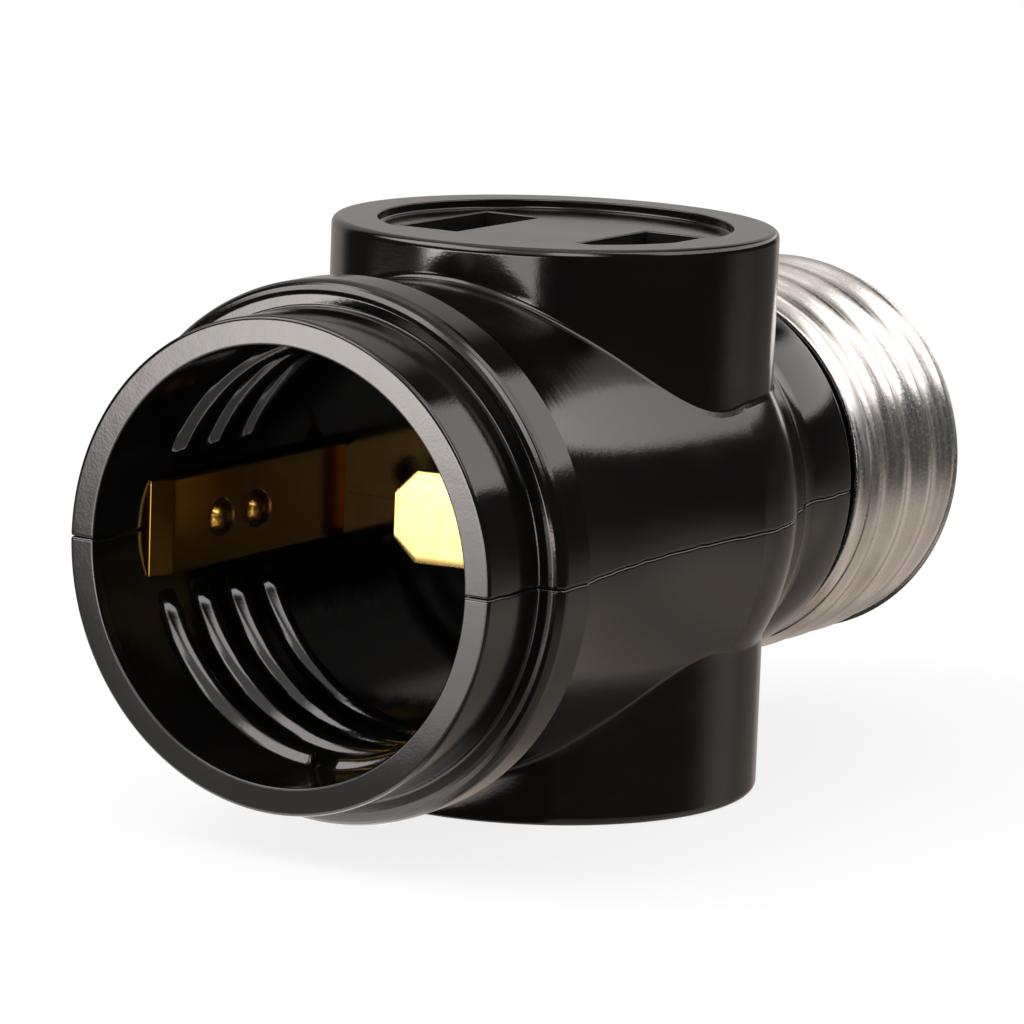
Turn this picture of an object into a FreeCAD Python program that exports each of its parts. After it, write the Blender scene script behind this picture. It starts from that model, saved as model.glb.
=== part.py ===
# Lamp socket adapter: a lamp well in front, a screw base behind, and an outlet above and below.
# The origin is the middle of the well's mouth. +Y runs along the axis to the base and +Z is up.
# Every size is in millimetres.

import FreeCAD, Part
import math
import os
import re
import Sketcher

os.makedirs("parts", exist_ok=True)
document = FreeCAD.newDocument("LampSocketAdapter")
sheet = document.addObject("Spreadsheet::Sheet", "Sizes")

# The driving sizes, one group for each piece
sizes = {
    # housing outline, front to back: radii, places along the axis, and the arcs between them
    "rim_radius": 15.2,
    "collar_front": 5.4,
    "collar_radius": 16.85,
    "collar_back": 8.8,
    "collar_step": 0.2,
    "waist_arc": 70.0,
    "belly_radius": 16.85,
    "belly_position": 31.0,
    "shoulder_arc": 14.1,
    "shoulder_edge_radius": 14.75,
    "shoulder_edge_position": 38.4,
    "land_radius": 14.3,
    "land_start": 38.8,
    "land_end": 40.2,
    "flare_arc": 8.0,
    "neck_radius": 13.1,
    "neck_start": 43.6,
    "neck_arc": 20.0,
    "neck_end": 49.1,
    "neck_end_radius": 12.9,
    # rounded edges of the housing
    "rim_edge": 0.25,
    "collar_edge": 0.9,
    "outlet_edge": 0.5,
    "neck_edge": 0.4,
    # lamp well and the wall behind it
    "mouth_bore_radius": 13.5,
    "mouth_bore_length": 5.0,
    "bore_radius": 13.3,
    "bore_depth": 25.0,
    "floor_wall": 2.0,
    "floor_slot_width": 2.2,
    # outlets
    "outlet_position": 31.2,
    "outlet_radius": 14.4,
    "outlet_rise": 1.4,
    "face_recess_radius": 11.45,
    "face_recess_depth": 0.6,
    "face_wall": 3.8,
    "blade_spacing": 12.7,
    "slot_width": 4.3,
    "neutral_slot_length": 10.6,
    "line_slot_length": 8.8,
    # chambers behind the slots
    "barrier_thickness": 3.0,
    "chamber_end": 37.5,
    "contact_well_length": 9.0,
    "contact_well_clearance": 0.3,
    "nose_cavity_start": 62.0,
    "nose_cavity_end": 66.5,
    # screw shell
    "shell_front": 50.9,
    "shell_edge_radius": 12.3,
    "shell_edge_length": 0.6,
    "shell_lead": 0.7,
    "thread_radius": 13.2,
    "thread_length": 11.5,
    "thread_pitch": 3.63,
    "thread_depth": 0.7,
    "thread_ridge_width": 2.4,
    "thread_ridge_sink": 0.15,
    "thread_ridge_drop": 0.03,
    "thread_ridge_position": 52.6,
    "thread_ridge_turns": 4.6,
    "thread_trim_over": 0.5,
    "end_band_length": 1.1,
    "shell_taper_length": 3.2,
    "shell_end_radius": 9.4,
    "shell_wall": 0.35,
    # nose and base contact
    "nose_length": 3.7,
    "nose_tip_radius": 5.2,
    "button_radius": 4.6,
    "button_edge": 0.6,
    "button_height": 2.0,
    "shank_radius": 1.6,
    "shank_head_radius": 2.6,
    "shank_head_height": 0.6,
    # brass strips
    "strip_thickness": 0.5,
    "strip_width": 6.1,
    "strip_clearance": 0.25,
    "neutral_strip_position": 12.5,
    "neutral_strip_front": 5.1,
    "lead_bend_length": 2.4,
    "lead_bend_offset": 0.15,
    "neutral_tail_width": 3.0,
    "neutral_tail_drop": 0.1,
    "neutral_tail_length": 1.4,
    "dimple_front": 12.0,
    "dimple_spacing": 4.1,
    "dimple_radius": 1.1,
    "dimple_height": 0.7,
    "dimple_edge": 0.55,
    "tongue_position": 20.6,
    "tongue_tip": 4.6,
    "tongue_chamfer": 1.5,
    "line_strip_position": 11.0,
    "line_neck_position": 3.0,
    "tab_reach": 2.8,
    # outlet contact leaves
    "leaf_thickness": 0.45,
    "leaf_length": 6.0,
    "leaf_root_height": 2.2,
    "leaf_spread": 1.35,
    "leaf_spread_height": 5.0,
    "leaf_pinch": 0.55,
    "leaf_flare_length": 3.2,
    "leaf_mouth": 1.7,
    "leaf_clearance": 1.25,
    # contact rivets
    "rivet_radius": 1.0,
    "rivet_head_radius": 1.7,
    "rivet_head_height": 0.6,
    "rivet_clearance": 0.05,
}

# Sizes that follow from the driving ones
derived = {
    "outlet_height": "belly_radius + outlet_rise",
    "plug_radius": "shell_edge_radius - shell_wall",
    "thread_start": "shell_front + shell_edge_length + shell_lead",
    "thread_end": "thread_start + thread_length",
    "thread_root": "thread_radius - thread_depth",
    "thread_root_start": "thread_start - shell_lead * thread_depth / (thread_radius - shell_edge_radius)",
    "ridge_foot": "thread_root - thread_ridge_sink",
    "ridge_side": "thread_ridge_width / 2",
    "ridge_rise": "thread_radius - thread_ridge_drop - ridge_foot",
    "ridge_arc": "(ridge_side ^ 2 + ridge_rise ^ 2) / (2 * ridge_rise)",
    "ridge_start": "thread_ridge_position - thread_pitch",
    "ridge_end": "ridge_start + thread_ridge_turns * thread_pitch",
    "trim_radius": "thread_radius + thread_trim_over",
    "band_start": "thread_end - end_band_length",
    "shell_end": "thread_end + shell_taper_length",
    "nose_shoulder_radius": "shell_end_radius - shell_wall",
    "nose_end": "shell_end + nose_length",
    "chamber_start": "bore_depth + floor_wall",
    "blade_position": "blade_spacing / 2",
    "barrier_side": "barrier_thickness / 2",
    "channel_depth": "strip_width / 2 + strip_clearance",
    "channel_width": "strip_thickness + 2 * strip_clearance",
    "neutral_channel_side": "neutral_strip_position + strip_thickness / 2 + strip_clearance",
    "line_channel_side": "line_strip_position + strip_thickness / 2 + strip_clearance",
    "neutral_tail_side": "plug_radius - neutral_tail_drop",
    "neutral_tail_position": "neutral_tail_side - strip_thickness / 2",
    "neutral_tail_end": "shell_front + neutral_tail_length",
    "tail_channel_depth": "neutral_tail_width / 2 + strip_clearance",
    "strip_entry": "chamber_start + channel_width / 2",
    "strip_exit": "chamber_end - channel_width / 2",
    "dome_height": "button_height - button_edge",
    "dome_arc": "(button_radius ^ 2 + dome_height ^ 2) / (2 * dome_height)",
    "tab_position": "nose_cavity_end - strip_thickness / 2",
    "well_reach": "leaf_mouth + leaf_thickness / 2 + contact_well_clearance",
    "leaf_height": "outlet_height - face_wall - leaf_clearance",
    "leaf_pinch_height": "leaf_height - leaf_flare_length",
    "leaf_stack": "(strip_thickness + leaf_thickness) / 2",
    "rivet_length": "strip_thickness + 2 * leaf_thickness",
}

for row, (alias, amount) in enumerate(list(sizes.items()) + list(derived.items()), start=1):
    cell = "B%d" % row
    sheet.set("A%d" % row, alias.replace("_", " "))
    sheet.set(cell, "=" + amount if isinstance(amount, str) else str(amount))
    sheet.setAlias(cell, alias)
document.recompute()


# Helpers: an expression is text in the sheet's names, such as "bore_depth + floor_wall"
def number(text):
    return float(sheet.evalExpression(text))


def bind(item, target, text):
    item.setExpression(target, re.sub(r"[a-z_]+", lambda word: "Sizes." + word.group(), text))


def minus(text):
    return "-(" + text + ")"


def add_body(label):
    body = document.addObject("PartDesign::Body", label)
    body.Label = label
    return body


def add_sketch(body, name, plane, lift=None):
    """An empty sketch on one of the body's own planes, lifted along that plane's normal."""
    sketch = body.newObject("Sketcher::SketchObject", body.Name + "_" + name)
    support = [item for item in body.Origin.OriginFeatures if item.Role == plane][0]
    sketch.AttachmentSupport = [(support, "")]
    sketch.MapMode = "FlatFace"
    if lift:
        bind(sketch, "AttachmentOffset.Base.z", lift)
    return sketch


def hold(sketch, item, corner, axis, text):
    """Fix one coordinate of a sketch point; axis is X or Y."""
    place = number(text)
    if abs(place) < 1e-9:
        axis_line = -2 if axis == "X" else -1
        sketch.addConstraint(Sketcher.Constraint("PointOnObject", item, corner, axis_line))
    elif place > 0:
        rule = Sketcher.Constraint("Distance" + axis, -1, 1, item, corner, place)
        bind(sketch, "Constraints[%d]" % sketch.addConstraint(rule), text)
    else:
        rule = Sketcher.Constraint("Distance" + axis, item, corner, -1, 1, -place)
        bind(sketch, "Constraints[%d]" % sketch.addConstraint(rule), minus(text))


def hold_radius(sketch, item, text):
    rule = Sketcher.Constraint("Radius", item, number(text))
    bind(sketch, "Constraints[%d]" % sketch.addConstraint(rule), text)


def arc_between(start, end, radius, side):
    """An arc from start to end, with its centre on the left of that way if side is 1, or right if -1."""
    chord = end - start
    reach = math.sqrt(max(radius ** 2 - (chord.Length / 2) ** 2, 0.0))
    left = FreeCAD.Vector(-chord.y, chord.x, 0).normalize()
    centre = (start + end) / 2 + left * reach * side
    first, last = (1, 2) if side > 0 else (2, 1)
    angles = [math.atan2(spot.y - centre.y, spot.x - centre.x) for spot in (start, end)]
    opening, closing = angles[first - 1], angles[last - 1]
    if closing < opening:
        closing += 2 * math.pi
    circle = Part.Circle(centre, FreeCAD.Vector(0, 0, 1), radius)
    return Part.ArcOfCircle(circle, opening, closing), first, last


def draw(sketch, corners, arcs=None):
    """A closed outline of lines and arcs; arcs gives radius and side for the stretch after a corner."""
    arcs = arcs or {}
    spots = [FreeCAD.Vector(number(x), number(y), 0) for x, y in corners]
    stretches = []
    for index, start in enumerate(spots):
        end = spots[(index + 1) % len(spots)]
        if index in arcs:
            radius, side = arcs[index]
            curve, first, last = arc_between(start, end, number(radius), side)
            stretches.append((sketch.addGeometry(curve, False), first, last))
            hold_radius(sketch, stretches[-1][0], radius)
        else:
            stretches.append((sketch.addGeometry(Part.LineSegment(start, end), False), 1, 2))
    for index, (item, first, last) in enumerate(stretches):
        follower, follower_first, follower_last = stretches[(index + 1) % len(stretches)]
        sketch.addConstraint(Sketcher.Constraint("Coincident", item, last, follower, follower_first))
        hold(sketch, item, first, "X", corners[index][0])
        hold(sketch, item, first, "Y", corners[index][1])
    return sketch


def draw_rectangle(sketch, low_x, high_x, low_y, high_y):
    return draw(sketch, [(low_x, low_y), (high_x, low_y), (high_x, high_y), (low_x, high_y)])


def draw_circle(sketch, radius, x="0", y="0"):
    centre = FreeCAD.Vector(number(x), number(y), 0)
    item = sketch.addGeometry(Part.Circle(centre, FreeCAD.Vector(0, 0, 1), number(radius)), False)
    hold_radius(sketch, item, radius)
    hold(sketch, item, 3, "X", x)
    hold(sketch, item, 3, "Y", y)
    return sketch


def ribbon(route, thickness):
    """The outline of a strip of that thickness along a route of runs that each lie near one axis."""
    spots = [(number(x), number(y)) for x, y in route]
    shifts = []
    for index in range(len(spots)):
        shift_x, shift_y = "0", "0"
        for start in (index - 1, index):
            if not 0 <= start < len(spots) - 1:
                continue
            run_x = spots[start + 1][0] - spots[start][0]
            run_y = spots[start + 1][1] - spots[start][1]
            if abs(run_y) > abs(run_x):
                shift_x = "%d * %s / 2" % (math.copysign(1, -run_y), thickness)
            else:
                shift_y = "%d * %s / 2" % (math.copysign(1, run_x), thickness)
        shifts.append((shift_x, shift_y))
    left = [("%s + (%s)" % (x, dx), "%s + (%s)" % (y, dy)) for (x, y), (dx, dy) in zip(route, shifts)]
    right = [("%s - (%s)" % (x, dx), "%s - (%s)" % (y, dy)) for (x, y), (dx, dy) in zip(route, shifts)]
    return left + right[::-1]


def revolve(body, sketch, degrees=360, backwards=False):
    """Turn an outline about its sketch's upright axis, which is the adapter's own axis."""
    feature = body.newObject("PartDesign::Revolution", sketch.Name + "_turned")
    feature.Profile = sketch
    feature.ReferenceAxis = (sketch, ["V_Axis"])
    feature.Angle = degrees
    feature.Reversed = backwards
    document.recompute()


def pad(body, sketch, length, both_ways=False, backwards=False):
    feature = body.newObject("PartDesign::Pad", sketch.Name + "_pad")
    feature.Profile = sketch
    bind(feature, "Length", length)
    feature.Midplane = both_ways
    feature.Reversed = backwards
    document.recompute()


def pocket(body, sketch, depth, backwards=False):
    """Cut a sketch into the body, and see that the cut takes something away."""
    before = body.Shape.Volume
    feature = body.newObject("PartDesign::Pocket", sketch.Name + "_cut")
    feature.Profile = sketch
    bind(feature, "Length", depth)
    feature.Reversed = backwards
    document.recompute()
    if body.Shape.Volume > before - 1e-6:
        raise RuntimeError(sketch.Name + " cuts nothing")


def dress(body, kind, size, text, wanted):
    """Round or chamfer the edges of the body's last feature for which wanted(edge) is true."""
    tip = body.Tip
    names = ["Edge%d" % index for index, edge in enumerate(tip.Shape.Edges, start=1) if wanted(edge)]
    feature = body.newObject("PartDesign::" + kind, "%s_%s_%d" % (body.Name, kind, len(body.Group)))
    feature.Base = (tip, names)
    bind(feature, size, text)
    document.recompute()


def is_ring(edge, radius, position, axis="y"):
    """True for an edge on a circle of that radius whose centre has that coordinate on the axis."""
    if not isinstance(edge.Curve, Part.Circle):
        return False
    centre, direction = edge.Curve.Center, edge.Curve.Axis
    square = abs(abs(getattr(direction, axis)) - 1) < 1e-6
    size_fits = abs(edge.Curve.Radius - number(radius)) < 1e-4
    return square and size_fits and abs(getattr(centre, axis) - number(position)) < 1e-4


# Upper half of the moulded housing, with the boss of its outlet
upper = add_body("upper_housing")
outline = draw(
    add_sketch(upper, "outline", "XY_Plane"),
    [
        ("0", "0"),
        ("rim_radius", "0"),
        ("rim_radius", "collar_front"),
        ("collar_radius", "collar_front"),
        ("collar_radius", "collar_back"),
        ("collar_radius - collar_step", "collar_back"),
        ("belly_radius", "belly_position"),
        ("shoulder_edge_radius", "shoulder_edge_position"),
        ("land_radius", "land_start"),
        ("land_radius - collar_step", "land_end"),
        ("neck_radius", "neck_start"),
        ("neck_end_radius", "neck_end - neck_edge"),
        ("neck_end_radius - neck_edge", "neck_end"),
        ("plug_radius", "neck_end"),
        ("plug_radius", "thread_end - shell_wall"),
        ("nose_shoulder_radius", "shell_end - shell_wall"),
        ("nose_shoulder_radius", "shell_end"),
        ("nose_tip_radius", "nose_end"),
        ("0", "nose_end"),
    ],
    arcs={
        5: ("waist_arc", -1),
        6: ("shoulder_arc", 1),
        9: ("flare_arc", -1),
        10: ("neck_arc", 1),
        11: ("neck_edge", 1),
    },
)
revolve(upper, outline, 180, backwards=True)
boss = draw_circle(add_sketch(upper, "boss", "XY_Plane"), "outlet_radius", "0", "outlet_position")
pad(upper, boss, "outlet_height")
dress(upper, "Fillet", "Radius", "outlet_edge",
      lambda edge: is_ring(edge, "outlet_radius", "outlet_height", "z"))
dress(upper, "Fillet", "Radius", "collar_edge",
      lambda edge: is_ring(edge, "collar_radius", "collar_front"))
dress(upper, "Fillet", "Radius", "rim_edge", lambda edge: is_ring(edge, "rim_radius", "0"))

# Lamp well, open in front, with a plain lead-in at its mouth
well = draw_circle(add_sketch(upper, "well", "XZ_Plane"), "bore_radius")
pocket(upper, well, "bore_depth")
lead_in = draw_circle(add_sketch(upper, "lead_in", "XZ_Plane"), "mouth_bore_radius")
pocket(upper, lead_in, "mouth_bore_length")

# Recessed outlet face with the wider neutral slot and the narrower line slot
recess = draw_circle(add_sketch(upper, "recess", "XY_Plane", "outlet_height"),
                     "face_recess_radius", "0", "outlet_position")
pocket(upper, recess, "face_recess_depth")
slots = add_sketch(upper, "slots", "XY_Plane", "outlet_height")
for side, slot_length in ((-1, "neutral_slot_length"), (1, "line_slot_length")):
    middle = "%d * blade_position" % side
    draw_rectangle(slots, middle + " - slot_width / 2", middle + " + slot_width / 2",
                   "outlet_position - %s / 2" % slot_length, "outlet_position + %s / 2" % slot_length)
pocket(upper, slots, "face_wall")

# Wells for the contact leaves under the slots, and the chambers and channels of the two strips
wells = add_sketch(upper, "contact_wells", "XY_Plane")
for side in (-1, 1):
    middle = "%d * blade_position" % side
    draw_rectangle(wells, middle + " - well_reach", middle + " + well_reach",
                   "outlet_position - contact_well_length / 2",
                   "outlet_position + contact_well_length / 2")
pocket(upper, wells, "outlet_height - face_wall", backwards=True)
chambers = add_sketch(upper, "chambers", "XY_Plane")
draw(chambers, [
    ("-neutral_channel_side", "bore_depth - strip_clearance"),
    ("floor_slot_width - neutral_channel_side", "bore_depth - strip_clearance"),
    ("floor_slot_width - neutral_channel_side", "chamber_start"),
    ("-barrier_side", "chamber_start"),
    ("-barrier_side", "chamber_end"),
    ("-neutral_channel_side", "chamber_end"),
])
draw(chambers, [
    ("line_channel_side", "bore_depth - strip_clearance"),
    ("line_channel_side", "chamber_end"),
    ("line_neck_position + channel_width / 2", "chamber_end"),
    ("line_neck_position + channel_width / 2", "nose_cavity_end"),
    ("-tab_reach - strip_clearance", "nose_cavity_end"),
    ("-tab_reach - strip_clearance", "nose_cavity_start"),
    ("line_neck_position - channel_width / 2", "nose_cavity_start"),
    ("line_neck_position - channel_width / 2", "chamber_end"),
    ("barrier_side", "chamber_end"),
    ("barrier_side", "chamber_start"),
    ("line_channel_side - floor_slot_width", "chamber_start"),
    ("line_channel_side - floor_slot_width", "bore_depth - strip_clearance"),
])
pocket(upper, chambers, "channel_depth", backwards=True)
tail_channel = draw_rectangle(
    add_sketch(upper, "tail_channel", "XY_Plane"),
    "-plug_radius - strip_clearance", "-neutral_tail_side + strip_thickness + strip_clearance",
    "chamber_end - strip_clearance", "neutral_tail_end + strip_clearance")
pocket(upper, tail_channel, "tail_channel_depth", backwards=True)
shank_hole = draw_circle(add_sketch(upper, "shank_hole", "XZ_Plane", "-nose_end"),
                         "shank_radius + rivet_clearance")
pocket(upper, shank_hole, "nose_end - nose_cavity_end", backwards=True)

# Lower half, the upper one's mirror image in the parting plane
lower = document.addObject("Part::Mirroring", "lower_housing")
lower.Label = "lower_housing"
lower.Source = upper
lower.Normal = FreeCAD.Vector(0, 0, 1)

# Drawn screw shell, from its edge on the plug to its hole round the nose
shell = add_body("screw_shell")
shell_outline = draw(add_sketch(shell, "outline", "XY_Plane"), [
    ("shell_edge_radius", "shell_front"),
    ("shell_edge_radius", "thread_start - shell_lead"),
    ("thread_root", "thread_root_start"),
    ("thread_root", "band_start - thread_depth"),
    ("thread_radius", "band_start"),
    ("thread_radius", "thread_end"),
    ("shell_end_radius", "shell_end"),
    ("nose_shoulder_radius", "shell_end"),
    ("nose_shoulder_radius", "shell_end - shell_wall"),
    ("thread_root - shell_wall", "thread_end - shell_wall"),
    ("thread_root - shell_wall", "thread_start + shell_wall"),
    ("plug_radius", "thread_start - shell_lead + shell_wall"),
    ("plug_radius", "shell_front"),
])
revolve(shell, shell_outline)

# Its right-hand thread, a round-crested ridge from ahead of the edge to past the end band
ridge = draw(
    add_sketch(shell, "ridge", "XY_Plane"),
    [("ridge_foot", "ridge_start - ridge_side"), ("ridge_foot", "ridge_start + ridge_side")],
    arcs={0: ("ridge_arc", 1)},
)
thread = shell.newObject("PartDesign::AdditiveHelix", "thread")
thread.Profile = ridge
thread.ReferenceAxis = (ridge, ["V_Axis"])
bind(thread, "Pitch", "thread_pitch")
bind(thread, "Height", "thread_ridge_turns * thread_pitch")
document.recompute()

# The ridge trimmed to the shell's lead in front and to its end taper behind
trim = add_sketch(shell, "trim", "XY_Plane")
draw(trim, [
    ("plug_radius", "ridge_start - thread_ridge_width"),
    ("trim_radius", "ridge_start - thread_ridge_width"),
    ("trim_radius", "thread_start"),
    ("thread_radius", "thread_start"),
    ("shell_edge_radius", "thread_start - shell_lead"),
    ("shell_edge_radius", "shell_front"),
    ("plug_radius", "shell_front"),
])
draw(trim, [
    ("thread_radius", "thread_end"),
    ("trim_radius", "thread_end"),
    ("trim_radius", "ridge_end + thread_ridge_width"),
    ("shell_end_radius", "ridge_end + thread_ridge_width"),
    ("shell_end_radius", "shell_end"),
])
untrimmed = shell.Shape.Volume
trimmed = shell.newObject("PartDesign::Groove", "thread_ends")
trimmed.Profile = trim
trimmed.ReferenceAxis = (trim, ["V_Axis"])
trimmed.Angle = 360
document.recompute()
if shell.Shape.Volume > untrimmed - 1e-6:
    raise RuntimeError("the thread's ends aren't trimmed")

# Base contact: a domed button whose shank is headed over the line strip inside the nose
button = add_body("base_contact")
button_outline = draw(
    add_sketch(button, "outline", "XY_Plane"),
    [
        ("0", "tab_position - strip_thickness / 2 - shank_head_height"),
        ("shank_head_radius", "tab_position - strip_thickness / 2 - shank_head_height"),
        ("shank_head_radius", "tab_position - strip_thickness / 2"),
        ("shank_radius", "tab_position - strip_thickness / 2"),
        ("shank_radius", "nose_end"),
        ("button_radius", "nose_end"),
        ("button_radius", "nose_end + button_edge"),
        ("0", "nose_end + button_height"),
    ],
    arcs={6: ("dome_arc", 1)},
)
revolve(button, button_outline)

# Neutral strip: along the left wall of the well, past its contact leaves, and out to the screw shell
neutral = add_body("neutral_strip")
neutral_route = [
    ("-neutral_strip_position - lead_bend_offset", "neutral_strip_front"),
    ("-neutral_strip_position", "neutral_strip_front + lead_bend_length"),
    ("-neutral_strip_position", "strip_entry"),
    ("-blade_position", "strip_entry"),
    ("-blade_position", "strip_exit"),
    ("-neutral_tail_position", "strip_exit"),
    ("-neutral_tail_position", "neutral_tail_end"),
]
neutral_outline = draw(add_sketch(neutral, "outline", "XY_Plane"), ribbon(neutral_route, "strip_thickness"))
pad(neutral, neutral_outline, "strip_width", both_ways=True)
for name, low, high in (("over_tail", "neutral_tail_width / 2", "strip_width"),
                        ("under_tail", "-strip_width", "-neutral_tail_width / 2")):
    trim = draw_rectangle(add_sketch(neutral, name, "YZ_Plane", "-plug_radius - strip_thickness"),
                          "chamber_end - strip_clearance", "neutral_tail_end + strip_clearance", low, high)
    pocket(neutral, trim, "channel_width + strip_thickness", backwards=True)
dimples = add_sketch(neutral, "dimples", "YZ_Plane", "strip_thickness / 2 - neutral_strip_position")
for step in range(2):
    draw_circle(dimples, "dimple_radius", "dimple_front + %d * dimple_spacing" % step)
pad(neutral, dimples, "dimple_height")
dress(neutral, "Fillet", "Radius", "dimple_edge", lambda edge: is_ring(
    edge, "dimple_radius", "strip_thickness / 2 - neutral_strip_position + dimple_height", "x"))

# Line strip: the tongue across the well, its contact leaves' seat, and the tab under the base contact
line = add_body("line_strip")
line_route = [
    ("-tongue_tip", "tongue_position"),
    ("line_strip_position", "tongue_position"),
    ("line_strip_position", "strip_entry"),
    ("blade_position", "strip_entry"),
    ("blade_position", "strip_exit"),
    ("line_neck_position", "strip_exit"),
    ("line_neck_position", "tab_position"),
    ("-tab_reach", "tab_position"),
]
line_outline = draw(add_sketch(line, "outline", "XY_Plane"), ribbon(line_route, "strip_thickness"))
pad(line, line_outline, "strip_width", both_ways=True)
tongue_end = number("-tongue_tip")
dress(line, "Chamfer", "Size", "tongue_chamfer", lambda edge: (
    abs(edge.CenterOfMass.x - tongue_end) < 1e-4 and abs(edge.CenterOfMass.z) > 1
    and abs(edge.CenterOfMass.y - number("tongue_position")) < 1e-4))
tab_hole = draw_circle(add_sketch(line, "tab_hole", "XZ_Plane", "-nose_cavity_end"),
                       "shank_radius + rivet_clearance")
pocket(line, tab_hole, "channel_width", backwards=True)

# Outlet contact leaves: a pair on each strip, bowed apart, pinched, and flared under both slots
leaf_heights = ["leaf_root_height", "leaf_spread_height", "leaf_pinch_height", "leaf_height"]
leaf_offsets = ["leaf_stack", "leaf_spread", "leaf_pinch", "leaf_mouth"]


def add_leaf(label, strip_side, leaf_side):
    """One leaf; strip_side is -1 for neutral or 1 for line, leaf_side is towards -X or +X of its strip."""
    leaf = add_body(label)
    levels = [minus(height) for height in leaf_heights[::-1]] + leaf_heights
    offsets = leaf_offsets[::-1] + leaf_offsets
    middle = "%d * blade_position + %d * " % (strip_side, leaf_side)
    near = [(middle + "(%s - leaf_thickness / 2)" % offset, level) for offset, level in zip(offsets, levels)]
    far = [(middle + "(%s + leaf_thickness / 2)" % offset, level) for offset, level in zip(offsets, levels)]
    sketch = add_sketch(leaf, "outline", "XZ_Plane", "leaf_length / 2 - outlet_position")
    draw(sketch, near + far[::-1])
    pad(leaf, sketch, "leaf_length", backwards=True)
    return leaf


leaves = [
    add_leaf("neutral_outer_leaf", -1, -1),
    add_leaf("neutral_inner_leaf", -1, 1),
    add_leaf("line_inner_leaf", 1, -1),
    add_leaf("line_outer_leaf", 1, 1),
]

# Rivet holes through each strip and its leaves
for piece, side in [(neutral, -1), (line, 1), (leaves[0], -1), (leaves[1], -1), (leaves[2], 1), (leaves[3], 1)]:
    hole = draw_circle(add_sketch(piece, "rivet_hole", "YZ_Plane", "%d * blade_position" % side),
                       "rivet_radius + rivet_clearance", "outlet_position")
    before = piece.Shape.Volume
    cut = piece.newObject("PartDesign::Pocket", piece.Name + "_rivet_hole_cut")
    cut.Profile = hole
    cut.Midplane = True
    bind(cut, "Length", "rivet_length + 2 * rivet_head_height")
    document.recompute()
    if piece.Shape.Volume > before - 1e-6:
        raise RuntimeError(piece.Label + " has no rivet hole")


# Contact rivets, one through each stack of two leaves and a strip
def add_rivet(name, side):
    cylinders = []
    for part, radius, length, start in (
            ("shank", "rivet_radius", "rivet_length", "-rivet_length / 2"),
            ("head", "rivet_head_radius", "rivet_head_height", "rivet_length / 2"),
            ("tail", "rivet_head_radius", "rivet_head_height", "-rivet_length / 2 - rivet_head_height")):
        cylinder = document.addObject("Part::Cylinder", name + "_" + part)
        bind(cylinder, "Radius", radius)
        bind(cylinder, "Height", length)
        cylinder.Placement.Rotation = FreeCAD.Rotation(FreeCAD.Vector(0, 1, 0), 90)
        bind(cylinder, "Placement.Base.x", "%d * blade_position + %s" % (side, start))
        bind(cylinder, "Placement.Base.y", "outlet_position")
        cylinders.append(cylinder)
    rivet = document.addObject("Part::MultiFuse", name)
    rivet.Shapes = cylinders
    return rivet


rivets = document.addObject("Part::Compound", "contact_rivets")
rivets.Label = "contact_rivets"
rivets.Links = [add_rivet("neutral_rivet", -1), add_rivet("line_rivet", 1)]
document.recompute()

# Every feature is sound before anything is written
for item in document.Objects:
    if "Invalid" in item.State or "Error" in item.State:
        raise RuntimeError(item.Label + " failed")
pieces = [upper, lower, shell, button, neutral, line] + leaves + [rivets]
for piece in pieces:
    if piece.Shape.isNull() or not piece.Shape.isValid():
        raise RuntimeError(piece.Label + " is not a sound shape")
for piece in pieces:
    piece.Shape.exportStep("parts/" + piece.Label + ".step")
    print(piece.Label, len(piece.Shape.Solids), "solid, volume", round(piece.Shape.Volume, 2))
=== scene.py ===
import bmesh
import bpy
import math
import numpy as np
from mathutils import Matrix, Vector


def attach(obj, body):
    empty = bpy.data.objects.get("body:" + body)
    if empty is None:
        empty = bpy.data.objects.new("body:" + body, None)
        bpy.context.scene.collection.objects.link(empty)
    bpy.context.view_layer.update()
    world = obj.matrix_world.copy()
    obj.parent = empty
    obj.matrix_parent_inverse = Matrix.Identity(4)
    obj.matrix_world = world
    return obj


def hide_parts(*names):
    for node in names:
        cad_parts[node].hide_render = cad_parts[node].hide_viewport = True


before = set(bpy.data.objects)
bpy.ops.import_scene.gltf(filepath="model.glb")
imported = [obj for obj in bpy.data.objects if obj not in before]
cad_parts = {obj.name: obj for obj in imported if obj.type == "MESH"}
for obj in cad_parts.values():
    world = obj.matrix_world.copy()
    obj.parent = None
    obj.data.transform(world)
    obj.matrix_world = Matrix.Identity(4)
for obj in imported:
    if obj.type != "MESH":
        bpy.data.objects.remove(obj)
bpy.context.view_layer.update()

# Lamp socket adapter. The axis is +Y from the mouth to the base, +Z is up. Sizes are in millimetres, and
# places in a material or a light are in metres.
millimetre = 0.001
weldDistance = 0.002
straightHalf = 1.56  # radians; a corner with a wider half angle counts as straight


# Surfaces: a sheet is a grid of points, shape rows x columns x 3
def blend(edgeLow, edgeHigh, amount):
    # 0 below the low edge, 1 above the high edge, and 3t^2 - 2t^3 between
    t = np.clip((amount - edgeLow) / (edgeHigh - edgeLow), 0.0, 1.0)
    return t * t * (3.0 - 2.0 * t)


def arcBetween(start, end, radius, side, steps):
    # points of a circle through both ends; its centre is left of the way if side is 1, right if -1
    start, end = np.array(start, float), np.array(end, float)
    chord = end - start
    length = np.hypot(*chord)
    left = np.array([-chord[1], chord[0]]) / length
    centre = (start + end) / 2 + left * side * math.sqrt(radius ** 2 - (length / 2) ** 2)
    first = math.atan2(*(start - centre)[::-1])
    turn = side * 2 * math.asin(length / 2 / radius)
    angle = first + turn * np.linspace(0, 1, steps)
    return np.stack([centre[0] + radius * np.cos(angle), centre[1] + radius * np.sin(angle)], 1)


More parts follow.
